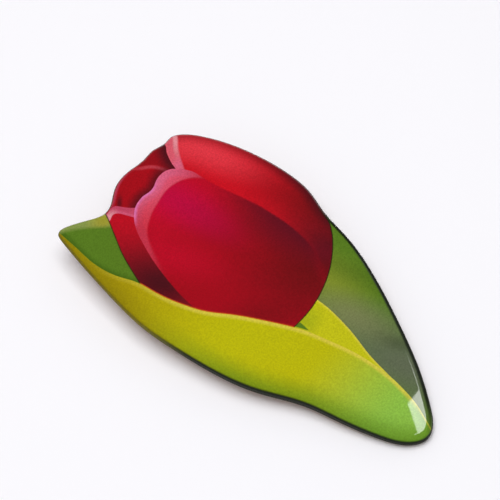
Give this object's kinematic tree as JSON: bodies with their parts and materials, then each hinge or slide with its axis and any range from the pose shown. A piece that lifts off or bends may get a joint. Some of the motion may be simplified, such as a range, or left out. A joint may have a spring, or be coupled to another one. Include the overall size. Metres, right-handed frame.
{
  "type": "lacquered wooden tulip brooch",
  "caption": "Flat wooden brooch in the outline of a tulip, painted and lacquered on the front, with a hinged pin and a locking catch on the back.",
  "frame": {"origin": "under the middle of the board, level with the bottom of the catch ring's circle, the lowest place of the fitting", "axes": "+Z out of the painted front, +Y from the stem tip to the head of the flower, +X to the right as the upright flower is looked at"},
  "size_m": [0.0455, 0.085, 0.0085],
  "materials": {
    "varnished_wood": "walnut stain under satin clear varnish",
    "painted_lacquer": "painted, high gloss clear lacquer",
    "plated_steel": "nickel plate",
    "rivet_steel": "plain",
    "pin_wire": "drawn wire",
    "screw_brass": "plain"
  },
  "bodies": {
    "brooch": {"wooden_blank": "varnished_wood", "lacquer_coat": "painted_lacquer", "base_bar": "plated_steel", "hinge_bracket": "plated_steel", "hinge_rivet": "rivet_steel", "catch_housing": "plated_steel", "hinge_end_screw": "screw_brass", "catch_end_screw": "screw_brass"},
    "pin": {"pin_stem": "pin_wire"},
    "rotor": {"catch_rotor": "plated_steel"}
  },
  "joints": [
    {"name": "pin_swing", "type": "hinge", "parent": "brooch", "child": "pin", "pos_m": [-0.0129, 0.014, 0.0018], "axis": [0, 1, 0], "range_deg": [0, 100]},
    {"name": "catch_turn", "type": "hinge", "parent": "brooch", "child": "rotor", "pos_m": [0.012, 0.014, 0.0018], "axis": [1, 0, 0], "range_deg": [0, 74]}
  ]
}
